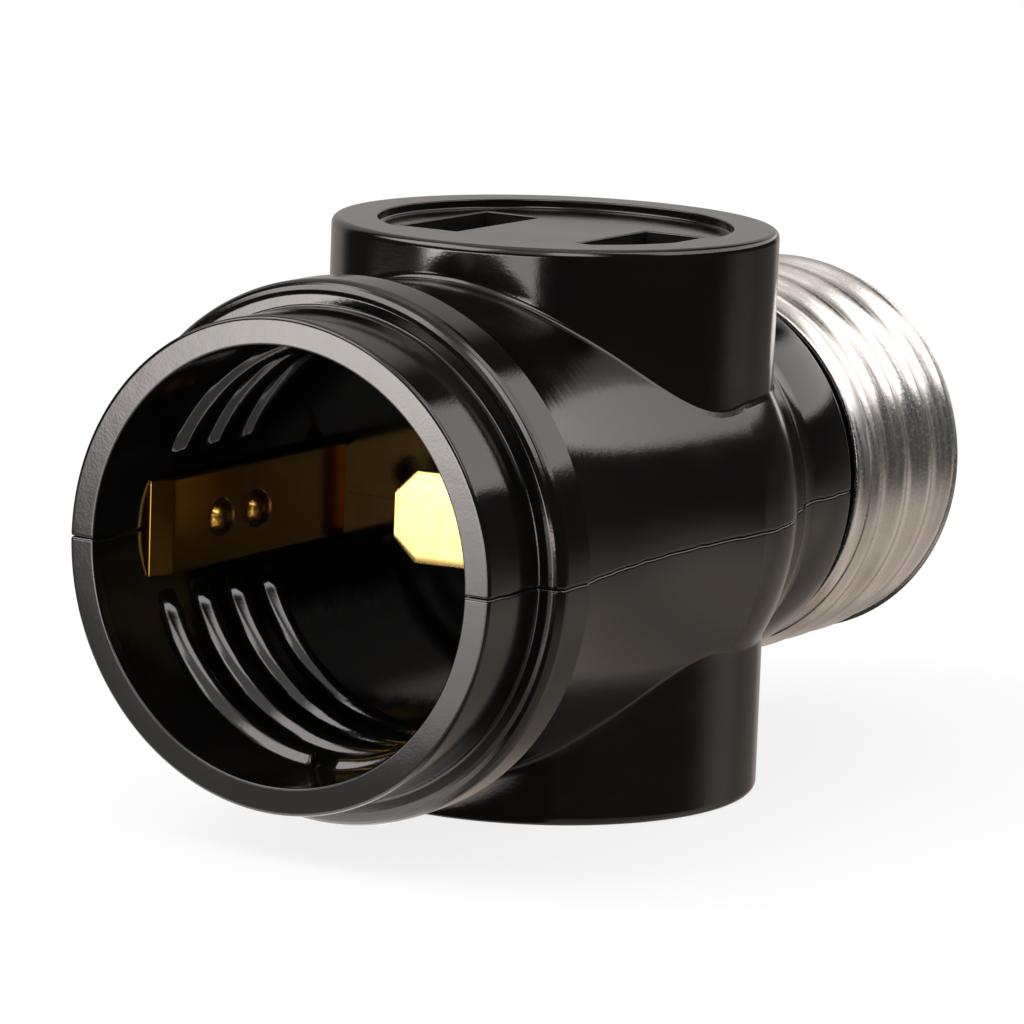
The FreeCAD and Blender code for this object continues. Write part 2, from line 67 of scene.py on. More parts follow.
def roundedPath(corners, radii, steps=6):
    # a run of straight lines with an arc of the given radius at each corner whose radius is over 0
    corners = [np.array(corner, float) for corner in corners]
    points = [corners[0]]
    for index in range(1, len(corners) - 1):
        corner, radius = corners[index], radii[index]
        back, ahead = corners[index - 1] - corner, corners[index + 1] - corner
        back, ahead = back / np.hypot(*back), ahead / np.hypot(*ahead)
        half = math.acos(np.clip(np.dot(back, ahead), -1, 1)) / 2
        if radius <= 0 or half > straightHalf:
            points.append(corner)
            continue
        reach = radius / math.tan(half)
        middle = corner + (back + ahead) / np.hypot(*(back + ahead)) * radius / math.sin(half)
        first, last = corner + back * reach - middle, corner + ahead * reach - middle
        swing = math.pi - 2 * half
        t = np.linspace(0, 1, steps)[:, None]
        swept = first * np.sin((1 - t) * swing) + last * np.sin(t * swing)
        points.extend(middle + swept / math.sin(swing))
    points.append(corners[-1])
    return np.array(points)


def closeUp(path, longest, edge=0.05):
    # more points on a path: one near both ends of each long run, and none further apart than longest
    pieces = []
    for start, end in zip(path[:-1], path[1:]):
        length = np.hypot(*(end - start))
        share = np.linspace(0, 1, max(2, int(math.ceil(length / longest)) + 1))
        if length > 4 * edge:
            share = np.unique(np.concatenate([share, [edge / length, 1 - edge / length]]))
        pieces.append(start + (end - start) * share[:-1, None])
    pieces.append(path[-1:])
    return np.concatenate(pieces)


def pathNormals(path):
    # the path's tangent turned a quarter to the left
    tangent = np.gradient(path, axis=0)
    tangent = tangent / np.hypot(tangent[:, 0], tangent[:, 1])[:, None]
    return np.stack([-tangent[:, 1], tangent[:, 0]], 1)


def makePiece(name, sheets, nodes):
    # each sheet is (points, closed round, facing); facing gives the way that the outside looks at a point
    vertices, faces, count = [], [], 0
    for points, closed, facing in sheets:
        rows, columns = points.shape[:2]
        spans = columns if closed else columns - 1
        row, column = np.meshgrid(np.arange(rows - 1), np.arange(spans), indexing="ij")
        across = (column + 1) % columns
        quads = np.stack([row * columns + column, row * columns + across,
                          (row + 1) * columns + across, (row + 1) * columns + column], -1).reshape(-1, 4)
        flat = points.reshape(-1, 3)
        normals = np.cross(flat[quads[:, 2]] - flat[quads[:, 0]], flat[quads[:, 3]] - flat[quads[:, 1]])
        outward = facing(flat[quads].mean(1))
        if (normals * outward).sum() < 0:
            quads = quads[:, ::-1]
        vertices.append(flat)
        faces.append(quads + count)
        count += len(flat)
    mesh = bpy.data.meshes.new(name)
    mesh.from_pydata((np.concatenate(vertices) * millimetre).tolist(), [], np.concatenate(faces).tolist())
    welded = bmesh.new()
    welded.from_mesh(mesh)
    bmesh.ops.remove_doubles(welded, verts=welded.verts, dist=weldDistance * millimetre)
    welded.to_mesh(mesh)
    welded.free()
    mesh.shade_smooth()
    piece = bpy.data.objects.new(name, mesh)
    bpy.context.scene.collection.objects.link(piece)
    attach(piece, "root")
    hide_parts(*nodes)
    print("made", name, len(mesh.polygons), "faces")
    return piece


def fromAxis(points):
    return points * np.array([1.0, 0.0, 1.0])


def toAxis(points):
    return -fromAxis(points)


def facing(x, y, z):
    return lambda points: np.broadcast_to(np.array([x, y, z], float), points.shape)


def patch(lowX, highX, lowOther, highOther, place, steps=(14, 10)):
    # a flat sheet: x from lowX to highX, the other coordinate between two functions of x
    u, v = np.meshgrid(np.linspace(0, 1, steps[0]), np.linspace(0, 1, steps[1]), indexing="ij")
    x = lowX + (highX - lowX) * u
    low, high = lowOther(x), highOther(x)
    return place(x, low + (high - low) * v)


def always(amount):
    return lambda x: x * 0.0 + amount


def roundAngles(count):
    return np.linspace(0, 2 * math.pi, count + 1)[:-1]


# Housing halves
housing = {
    # outline from the mouth to inside the shell, and the nose behind it
    "mouthRadius": 13.44, "mouthDepth": 1.0, "mouthEdge": 0.12, "rimRadius": 15.2, "rimEdge": 0.25,
    "collarFront": 5.4, "collarFoot": 0.18, "collarRadius": 16.85, "collarEdge": 0.9,
    "collarBack": 8.8, "collarBackEdge": 0.07, "collarStep": 0.2, "waistLead": 0.06,
    "waistArc": 70.0, "bellyRadius": 16.45, "bellyPosition": 31.0, "shoulderArc": 14.1,
    "shoulderEdgeRadius": 14.75, "shoulderEdge": 38.4, "shoulderRound": 0.16,
    "landRadius": 14.3, "landStart": 38.8, "landEnd": 40.2, "landRound": 0.12,
    "flareArc": 8.0, "neckRadius": 13.1, "neckStart": 43.6, "neckArc": 20.0, "neckEnd": 49.1,
    "neckEndRadius": 12.9, "neckEdge": 0.4, "plugRadius": 11.9, "plugFoot": 0.1, "skinEnd": 53.0,
    "noseStart": 66.3, "noseRim": 66.9, "noseRimRound": 0.15, "noseShoulder": 9.0,
    "noseEnd": 70.6, "noseTip": 5.2, "noseTipRound": 0.5, "noseHole": 3.6,
    # parting plane; each wave is (turns per mm in radians, shift between the ends, phase, share)
    "partingRound": 0.15, "partingGap": 0.012, "partingDepth": 0.6, "partingWobble": 0.045,
    "partingWaves": [(1.9, 2.1, 0.0, 1.0), (4.7, 1.0, 1.3, 0.6), (11.0, 0.0, 0.4, 0.35)],
    "seamAngle": 0.03, "seamLift": 0.06,
    # outlet; each slot is (x, width, length)
    "outletPosition": 31.2, "outletRadius": 14.4, "outletHeight": 18.25, "outletEdge": 0.5, "sideTop": 1.2,
    "bossFillet": 0.45, "skirtLength": 0.3, "skirtDrop": 0.03,
    "recessRadius": 11.45, "recessDepth": 0.6, "recessEdge": 0.1, "recessFoot": 0.14, "recessBand": 0.6,
    "faceWall": 3.8, "slots": [(-6.35, 4.3, 10.6), (6.35, 4.3, 8.8)], "slotEdge": 0.1, "slotCorner": 0.12,
    "wellReach": 2.2, "wellLength": 9.0,
    # lamp well, with thread ribs; for each side a span is (first degree, last degree, number of ribs)
    "boreRadius": 13.3, "boreDepth": 25.0, "mouthTaper": 8.0, "wallStart": 0.9, "wallStep": 0.19,
    "floorSlots": [(-13.0, -11.5), (9.3, 11.5)], "floorSlotHeight": 3.3, "floorSlotDepth": 3.4,
    "pitch": 3.63, "ribHeight": 0.85, "ribHalfWidth": 0.78, "ribPower": 1.1, "ribStart": 7.0,
    "ribSpans": {1: (20.0, 160.0, 3), -1: (200.0, 340.0, 4)}, "ribFade": (3.0, 4.0),
    "ribGap": (266.5, 275.0), "ribGapFade": 1.5,
    # spacing of a mesh's points
    "closeBy": 0.05, "longest": 0.8,
}


def outerProfile(h):
    # the outline from just inside the mouth, round the rim and collar, down the waist and neck to the plug
    waist = arcBetween((h["collarBack"] + h["waistLead"], h["collarRadius"] - h["collarStep"]),
                       (h["bellyPosition"], h["bellyRadius"]), h["waistArc"], 1, 30)
    shoulder = arcBetween((h["bellyPosition"], h["bellyRadius"]),
                          (h["shoulderEdge"], h["shoulderEdgeRadius"]), h["shoulderArc"], -1, 18)
    flare = arcBetween((h["landEnd"], h["landRadius"] - h["collarStep"]),
                       (h["neckStart"], h["neckRadius"]), h["flareArc"], 1, 12)
    neck = arcBetween((h["neckStart"], h["neckRadius"]), (h["neckEnd"], h["neckEndRadius"]),
                      h["neckArc"], -1, 14)
    front = [((h["mouthDepth"], h["mouthRadius"]), 0), ((0.0, h["mouthRadius"]), h["mouthEdge"]),
             ((0.0, h["rimRadius"]), h["rimEdge"]), ((h["collarFront"], h["rimRadius"]), h["collarFoot"]),
             ((h["collarFront"], h["collarRadius"]), h["collarEdge"]),
             ((h["collarBack"], h["collarRadius"]), h["collarBackEdge"])]
    middle = [((y, r), 0) for y, r in waist] + [((y, r), 0) for y, r in shoulder[1:-1]]
    back = [((h["shoulderEdge"], h["shoulderEdgeRadius"]), h["shoulderRound"]),
            ((h["landStart"], h["landRadius"]), h["landRound"])]
    rear = [((y, r), 0) for y, r in flare] + [((y, r), 0) for y, r in neck[1:-1]]
    end = [((h["neckEnd"], h["neckEndRadius"]), h["neckEdge"]),
           ((h["neckEnd"], h["plugRadius"]), h["plugFoot"]), ((h["skinEnd"], h["plugRadius"]), 0)]
    corners, radii = zip(*(front + middle + back + rear + end))
    return closeUp(roundedPath(corners, radii), longest=1.2)


housingProfile = outerProfile(housing)

# The same outline from the collar to the neck as a table of radii, each the mean of a short run of places
tableStart, tableEnd, tableLength, meanReach = 5.6, 48.6, 2000, 20
inTable = (housingProfile[:, 0] > tableStart - 0.1) & (housingProfile[:, 0] < tableEnd)
profilePlaces = np.linspace(tableStart, tableEnd, tableLength)
profileRadii = np.interp(profilePlaces, *housingProfile[inTable].T)
meanWeights = np.ones(2 * meanReach + 1) / (2 * meanReach + 1)
profileRadii = np.convolve(np.pad(profileRadii, meanReach, mode="edge"), meanWeights, mode="valid")


def bodyHeight(x, y):
    # height of the body's skin above the parting plane: the square root of R(y)^2 - x^2
    radius = np.interp(y, profilePlaces, profileRadii)
    return np.sqrt(np.maximum(radius ** 2 - x ** 2, 0.01))


def partingLine(y, end, side, h):
    # height of the edge on the parting plane: a gap, and a slow wobble that both halves share
    wave = sum(share * np.sin(rate * y + shift * end + phase)
               for rate, shift, phase, share in h["partingWaves"])
    return h["partingGap"] + side * h["partingWobble"] * 0.5 * wave


def halfSheet(y, radius, normalY, normalR, side, h, columns):
    # a skin turned half way round the axis, whose two edges on the parting plane are rounded inwards
    t = np.linspace(0, math.pi / 2, 4)
    inset = np.concatenate([[h["partingDepth"]], h["partingRound"] * (1 - np.sin(t)), [0.0]])
    lift = np.concatenate([[0.0], h["partingRound"] * (1 - np.cos(t)), [h["partingRound"] + h["seamLift"]]])
    seams = h["seamAngle"], math.pi - h["seamAngle"]
    angles = np.linspace(*seams, columns)
    radiusAt = radius if callable(radius) else (lambda place, angle: radius[:, None] + 0 * angle)
    place = y[:, None]
    main = radiusAt(place, angles[None, :])
    strips = []
    for end, sign in ((0, 1), (1, -1)):
        edgeRadius = radiusAt(place, np.array([[seams[end]]]))
        r = edgeRadius - normalR[:, None] * inset[None, :]
        yy = place - normalY[:, None] * inset[None, :]
        z = partingLine(place, end, side, h) + lift[None, :]
        x = sign * np.sqrt(np.maximum(r ** 2 - z ** 2, 0))
        strips.append(np.stack([x, yy + 0 * x, z], -1))
    body = np.stack([main * np.cos(angles), place + 0 * main, main * np.sin(angles)], -1)
    sheet = np.concatenate([strips[0], body, strips[1][:, ::-1]], 1)
    return sheet * np.array([1.0, 1.0, side])


def boreRadiusAt(side, h):
    # the well's wall less its thread ribs: each rib is a rounded ridge along y = start - pitch * turn
    low, high, ribs = h["ribSpans"][side]
    outer, inner = h["ribFade"]
    (gapLow, gapHigh), gapFade = h["ribGap"], h["ribGapFade"]

    def radius(y, angle):
        turn = np.degrees(angle) if side > 0 else 360.0 - np.degrees(angle)
        wall = h["mouthRadius"] + (h["boreRadius"] - h["mouthRadius"]) * np.clip(y / h["mouthTaper"], 0, 1)
        ends = blend(low - outer, low + inner, turn) * (1 - blend(high - inner, high + outer, turn))
        rise = 0.0 * (y + angle)
        for step in range(ribs):
            line = h["ribStart"] - h["pitch"] * (turn - 180.0) / 360.0 + h["pitch"] * step
            across = np.clip(np.abs(y - line) / h["ribHalfWidth"], 0, 1)
            ridge = (1 - across ** 2) ** h["ribPower"] * h["ribHeight"] * ends
            if side < 0 and step == 0:
                # the first lower rib has a gap at the bottom
                gap = blend(gapLow, gapLow + gapFade, turn) * (1 - blend(gapHigh - gapFade, gapHigh, turn))
                ridge = ridge * (1 - gap)
            rise = np.maximum(rise, ridge)
        return wall - rise
    return radius


def rectangleRing(halfX, halfY, corner, steps=4):
    # a rectangle with rounded corners, as points round it
    t = np.linspace(0, math.pi / 2, steps)
    quarters = []
    for index, (sx, sy) in enumerate(((1, 1), (-1, 1), (-1, -1), (1, -1))):
        angle = t + index * math.pi / 2
        quarters.append(np.stack([sx * (halfX - corner) + corner * np.cos(angle),
                                  sy * (halfY - corner) + corner * np.sin(angle)], 1))
    return np.concatenate(quarters)


def shaft(levels):
    # stacked rectangles, each (half x, half y, corner, centre x, centre y, z), joined into one wall
    rings = []
    for halfX, halfY, corner, x, y, z in levels:
        ring = rectangleRing(halfX, halfY, corner)
        rings.append(np.column_stack([ring[:, 0] + x, ring[:, 1] + y, np.full(len(ring), z)]))
    return np.stack(rings)


def bossSheets(side, h):
    # the boss in polar form round its own axis: fillet on the body, side, rounded edge, ring and recess
    angle = roundAngles(320)
    cosine, sine = np.cos(angle), np.sin(angle)
    radius, fillet = h["outletRadius"], h["bossFillet"]
    middle = radius + fillet
    nearby = 0.15  # the skin's slope is taken this far to both sides

    def heightAt(rho):
        return bodyHeight(rho * cosine, h["outletPosition"] + rho * sine)
    slope = (heightAt(middle + nearby) - heightAt(middle - nearby)) / (2 * nearby)
    length = np.sqrt(1 + slope ** 2)
    centre = heightAt(middle) + fillet * length
    first = np.arctan2(-1.0, slope)
    t = np.linspace(0, 1, 7)[:, None]
    sweep = first[None, :] + (-math.pi - first)[None, :] * t
    rho = middle + fillet * np.cos(sweep)
    z = centre[None, :] + fillet * np.sin(sweep)
    skirtRho = rho[:1] + h["skirtLength"] / length
    skirtZ = z[:1] + h["skirtLength"] * slope / length - h["skirtDrop"]
    top, inner = h["outletHeight"], h["recessRadius"]
    floorZ, reach = top - h["recessDepth"], inner - h["recessBand"]
    corners = [(radius, top - h["sideTop"]), (radius, top), (inner, top), (inner, floorZ), (reach, floorZ)]
    radii = [0, h["outletEdge"], h["recessEdge"], h["recessFoot"], 0]
    upper = closeUp(roundedPath(corners, radii), h["longest"])
    share = np.linspace(0, 1, 8)[1:, None]
    wallZ = z[-1:] + (upper[0, 1] - z[-1:]) * share
    rho = np.concatenate([skirtRho, rho, wallZ * 0 + radius, upper[1:, :1] + 0 * cosine[None, :]])
    z = np.concatenate([skirtZ, z, wallZ, upper[1:, 1:] + 0 * cosine[None, :]])
    sheet = np.stack([rho * cosine, h["outletPosition"] + rho * sine, z * side], -1)
    outward = lambda p: (p - np.array([0, h["outletPosition"], 0])) * np.array([1.0, 1.0, 0.4])
    sheets = [(sheet, True, outward)]
    # recess floor as five strips across x, with the slots left open
    rim, corner, close = h["slotEdge"], h["slotCorner"], h["closeBy"]

    def circle(sign):
        # edge of the recess floor: position + sign * the square root of reach^2 - x^2
        return lambda x: h["outletPosition"] + sign * np.sqrt(np.maximum(reach ** 2 - x ** 2, 0))
    place = lambda x, y: np.stack([x, y, np.full(x.shape, floorZ * side)], -1)
    up = facing(0, 0, side)
    limits = [-reach]
    for x, width, slotLength in h["slots"]:
        low, high = x - width / 2 - rim, x + width / 2 + rim
        sheets.append((patch(limits[-1], low, circle(-1), circle(1), place, (20, 20)), False, up))
        for sign in (-1, 1):
            near = h["outletPosition"] + sign * (slotLength / 2 + rim)
            sheets.append((patch(low, high, always(near), circle(sign), place), False, up))
        limits.append(high)
    sheets.append((patch(limits[-1], reach, circle(-1), circle(1), place, (20, 20)), False, up))
    # slots with rounded lips, and the contact wells under them
    for x, width, slotLength in h["slots"]:
        halfX, halfY = width / 2, slotLength / 2
        y, below = h["outletPosition"], top - h["faceWall"]
        levels = []
        for a in np.linspace(0, math.pi / 2, 5):
            lip = rim * (1 - math.sin(a))
            levels.append((halfX + lip, halfY + lip, corner - lip, x, y, floorZ - rim * (1 - math.cos(a))))
        wellX, wellY = h["wellReach"], h["wellLength"] / 2
        levels += [(halfX, halfY, corner, x, y, z) for z in (floorZ - rim - close, below + close, below)]
        levels += [(wellX, wellY, corner, x, y, z) for z in (below, below - close, 0.0)]
        wall = shaft(levels) * np.array([1.0, 1.0, side])
        inwards = lambda p, x=x: (np.array([x, h["outletPosition"], 0]) - p) * np.array([1.0, 1.0, 0.0])
        sheets.append((wall, True, inwards))
    return sheets


def floorSheets(side, h):
    # the well's floor in strips across x, and the two openings that the strips pass through
    reach, depth, tall = h["boreRadius"] + h["closeBy"], h["boreDepth"], h["floorSlotHeight"]
    circle = lambda x: np.sqrt(np.maximum(reach ** 2 - x ** 2, 0))
    place = lambda x, z: np.stack([x, np.full(x.shape, depth), z * side], -1)
    front = facing(0, -1, 0)
    (left0, left1), (right0, right1) = h["floorSlots"]
    start = -math.sqrt(reach ** 2 - tall ** 2)
    low = always(h["partingGap"])
    sheets = [
        (patch(start, left1, always(tall), circle, place), False, front),
        (patch(left1, right0, low, circle, place, (40, 24)), False, front),
        (patch(right0, right1, always(tall), circle, place), False, front),
        (patch(right1, reach, low, circle, place), False, front),
    ]
    for x0, x1 in h["floorSlots"]:
        # the pocket's section goes up one wall, across and down the other, and its back closes it
        back, foot = depth + h["floorSlotDepth"], -0.02
        section = closeUp(np.array([(x0, foot), (x0, tall), (x1, tall), (x1, foot)]), longest=0.6)
        rows = np.array([depth, depth + h["closeBy"], back - h["closeBy"], back])
        wall = np.stack([np.broadcast_to(section[None, :, 0], (4, len(section))),
                         np.broadcast_to(rows[:, None], (4, len(section))),
                         np.broadcast_to(section[None, :, 1] * side, (4, len(section)))], -1)
        middle = np.array([(x0 + x1) / 2, depth, 0.0])
        sheets.append((wall, False, lambda p, middle=middle: (middle - p) * np.array([1.0, 0.0, 1.0])))
        closing = patch(x0, x1, always(foot), always(tall),
                        lambda x, z: np.stack([x, np.full(x.shape, back), z * side], -1), (4, 4))
        sheets.append((closing, False, front))
    return sheets


def makeHousingHalf(name, node, side, h):
    normals = pathNormals(housingProfile)
    skin = halfSheet(*housingProfile.T, *normals.T, side, h, columns=160)
    start, deep = h["wallStart"], h["boreDepth"]
    inside = np.arange(start + 0.3, deep - 0.1, h["wallStep"])
    places = np.concatenate([[start, start + 0.1], inside, [deep]])
    wall = halfSheet(places, boreRadiusAt(side, h), places * 0, places * 0 - 1, side, h, columns=180)
    corners = [(h["noseStart"], h["noseShoulder"]), (h["noseRim"], h["noseShoulder"]),
               (h["noseEnd"], h["noseTip"]), (h["noseEnd"], h["noseHole"])]
    nose = closeUp(roundedPath(corners, [0, h["noseRimRound"], h["noseTipRound"], 0]), h["longest"])
    tip = halfSheet(*nose.T, *pathNormals(nose).T, side, h, columns=90)
    sheets = [(skin, False, fromAxis), (wall, False, toAxis), (tip, False, fromAxis)]
    sheets += bossSheets(side, h) + floorSheets(side, h)
    return makePiece(name, sheets, [node])


upperHousing = makeHousingHalf("upperHousing", "upper_housing", 1, housing)
lowerHousing = makeHousingHalf("lowerHousing", "lower_housing", -1, housing)

# Screw shell
shell = {
    "front": 50.9, "edgeRadius": 12.42, "wall": 0.35, "threadStart": 52.0, "threadEnd": 63.9,
    "crest": 13.2, "root": 12.5, "pitch": 3.63, "phase": 52.6, "rowStep": 0.11,
    "insideEnd": 54.0, "edgeRound": 0.17, "innerRound": 0.1, "plainRise": 0.3, "plainEnd": 64.6,
    "end": 66.9, "endRadius": 9.4, "shoulderRound": 1.4, "holeRound": 0.2,
    # places along the axis between which the thread and the plain band beside it come and go
    "threadIn": (51.3, 53.2), "threadOut": (63.0, 64.9), "bandIn": (51.0, 52.4), "bandOut": (63.0, 64.2),
}


def makeShell(s):
    # outside radius = root + half the depth * (1 + cos of the turn along the helix), faded at both ends
    angle = roundAngles(360)
    inner = s["edgeRadius"] - s["wall"]
    edge = [(s["insideEnd"], inner), (s["front"], inner), (s["front"], s["edgeRadius"]),
            (s["threadStart"], s["edgeRadius"])]
    start = roundedPath(edge, [0, s["innerRound"], s["edgeRound"], 0])
    rows = np.arange(s["threadStart"], s["threadEnd"], s["rowStep"])
    straight = np.stack([rows, np.full(len(rows), s["root"])], 1)
    band, hole = s["root"] + s["plainRise"], s["endRadius"] - s["wall"]
    closing = [(s["threadEnd"] - 0.05, band), (s["plainEnd"], band), (s["end"], s["endRadius"]),
               (s["end"], hole), (s["end"] - s["wall"], hole)]
    end = roundedPath(closing, [0, s["shoulderRound"], s["holeRound"], s["innerRound"], 0], 8)
    path = closeUp(np.concatenate([start, straight, end]), longest=0.5)
    y, base = path[:, :1], path[:, 1:]
    turn = (y - s["phase"]) / s["pitch"] + angle[None, :] / (2 * math.pi)
    wave = 0.5 + 0.5 * np.cos(2 * math.pi * turn)
    outside = base > inner + 0.1
    fade = blend(*s["threadIn"], y) * (1 - blend(*s["threadOut"], y)) * outside
    rise = s["plainRise"] * blend(*s["bandIn"], y) * (1 - fade) * (1 - blend(*s["bandOut"], y)) * outside
    radius = base + (s["crest"] - s["root"]) * wave * fade + rise
    sheet = np.stack([radius * np.cos(angle), y + 0 * radius, radius * np.sin(angle)], -1)
    return makePiece("screwShell", [(sheet, True, fromAxis)], ["screw_shell"])


screwShell = makeShell(shell)

# Base contact
button = {
    "start": 70.6, "radius": 4.6, "edge": 0.6, "edgeRound": 0.25, "height": 2.0,
    "shank": 1.6, "shankStart": 65.4, "head": 2.6, "headHeight": 0.6, "round": 0.1, "footRound": 0.05,
}


def makeButton(b):
    # a domed disc on a shank, turned about the axis; the dome is part of a circle
    rise = b["height"] - b["edge"]
    arc = (b["radius"] ** 2 + rise ** 2) / (2 * rise)
    dome = arcBetween((b["start"] + b["edge"], b["radius"]), (b["start"] + b["height"], 0.0), arc, -1, 20)
    under = b["shankStart"] + b["headHeight"]
    corners = [(b["shankStart"], 0.0), (b["shankStart"], b["head"]), (under, b["head"]), (under, b["shank"]),
               (b["start"], b["shank"]), (b["start"], b["radius"])] + [tuple(point) for point in dome]
    radii = [0, b["round"], b["round"], b["footRound"], b["footRound"], b["round"], b["edgeRound"]]
    path = closeUp(roundedPath(corners, radii + [0] * (len(dome) - 1)), longest=0.5)
    angle = roundAngles(120)
    radius = np.maximum(path[:, 1:], 0.0)
    sheet = np.stack([radius * np.cos(angle), path[:, :1] + 0 * angle, radius * np.sin(angle)], -1)
    return makePiece("baseButton", [(sheet, True, fromAxis)], ["base_contact"])


baseButton = makeButton(button)

# Brass strips
strips = {
    "thickness": 0.5, "width": 6.1, "tailWidth": 3.0, "tailStart": 37.4, "edge": 0.12, "bend": 0.9,
    "neutralRoute": [(-13.1, 5.3), (-12.5, 7.0), (-12.5, 27.5), (-6.35, 27.5), (-6.35, 37.0),
                     (-11.6, 37.0), (-11.6, 52.3)],
    "lineRoute": [(-4.6, 20.5), (11.0, 22.5), (11.0, 27.5), (6.35, 27.5), (6.35, 37.0),
                  (3.0, 37.0), (3.0, 66.25), (-2.8, 66.25)],
    "dimples": [12.0, 16.1], "dimpleRadius": 1.15, "dimpleHeight": 0.8, "dimplePower": 0.55, "chamfer": 1.5,
    "faceColumns": 70, "backColumns": 13, "rowStep": 0.11, "rowEdge": 0.03,
}


def stripSection(s):
    # a rectangle with rounded corners, as three rows: offset from the middle, share of the height, rounding
    t = np.linspace(0, math.pi / 2, 4)
    edge, flat = s["edge"], s["thickness"] / 2 - s["edge"]
    near, far = np.linspace(-1, 1, s["faceColumns"]), np.linspace(1, -1, s["backColumns"])
    up, down = np.ones(3), -np.ones(3)
    return np.concatenate([
        np.stack([near * 0 + s["thickness"] / 2, near, near * 0]),
        np.stack([flat + edge * np.cos(t[1:]), up, edge * np.sin(t[1:])]),
        np.stack([-flat - edge * np.sin(t[:-1]), up, edge * np.cos(t[:-1])]),
        np.stack([far * 0 - s["thickness"] / 2, far, far * 0]),
        np.stack([-flat - edge * np.cos(t[1:]), down, -edge * np.sin(t[1:])]),
        np.stack([flat + edge * np.sin(t[:-1]), down, -edge * np.cos(t[:-1])]),
    ], 1)


def sweepStrip(route, widthAt, dimplesAt, s):
    # the section carried along the route; its width varies, and dimples lift its left face
    bends = [0] + [s["bend"]] * (len(route) - 2) + [0]
    path = closeUp(roundedPath(route, bends, 7), s["rowStep"], s["rowEdge"])
    normal = pathNormals(path)
    along = np.concatenate([[0], np.cumsum(np.hypot(*np.diff(path, axis=0).T))])
    offset, share, rounding = stripSection(s)
    height = share[None, :] * (widthAt(along, path, s)[:, None] - s["edge"]) + rounding[None, :]
    lift = dimplesAt(path[:, 1:], height, s) * (offset > s["thickness"] / 2 - 1e-6)[None, :]
    out = offset[None, :] + lift
    sheet = np.stack([path[:, :1] + normal[:, :1] * out, path[:, 1:] + normal[:, 1:] * out, height], -1)
    # each end is closed by a ring that shrinks to a line along its middle
    caps = []
    for row in (0, -1):
        ring = sheet[row]
        middle = ring.mean(0, keepdims=True)
        caps.append(np.stack([ring, middle + (ring - middle) * np.array([0.02, 0.02, 0.9])]))
    return sheet, caps


def neutralWidth(along, path, s):
    # full width, then the narrow tail
    return np.where(path[:, 1] < s["tailStart"], s["width"] / 2, s["tailWidth"] / 2)


def lineWidth(along, path, s):
    # full width less the tongue's chamfered corners
    return s["width"] / 2 - np.clip(s["chamfer"] - along, 0, s["chamfer"])


def domes(y, z, s):
    # each dimple is near an ellipsoid: height * (1 - (distance / radius)^2) to the power of about a half
    rise = 0.0 * (y + z)
    for place in s["dimples"]:
        distance = np.hypot(y - place, z) / s["dimpleRadius"]
        rise = np.maximum(rise, s["dimpleHeight"] * np.clip(1 - distance ** 2, 0, 1) ** s["dimplePower"])
    return rise


def level(y, z, s):
    return 0.0 * (y + z)


def makeStrip(name, node, route, widthAt, dimplesAt, capWays):
    sheet, caps = sweepStrip(route, widthAt, dimplesAt, strips)
    centres = sheet.mean(1)

    def outward(points):
        nearest = np.abs(points[:, None, :2] - centres[None, ::6, :2]).sum(-1).argmin(1)
        return points - centres[::6][nearest]
    sheets = [(sheet, True, outward)]
    for cap, way in zip(caps, capWays):
        sheets.append((cap, True, facing(*way)))
    return makePiece(name, sheets, [node])


neutralStrip = makeStrip("neutralStrip", "neutral_strip", strips["neutralRoute"][::-1],
                         neutralWidth, domes, [(0, 1, 0), (0, -1, 0)])
lineStrip = makeStrip("lineStrip", "line_strip", strips["lineRoute"],
                      lineWidth, level, [(-1, 0, 0), (-1, 0, 0)])


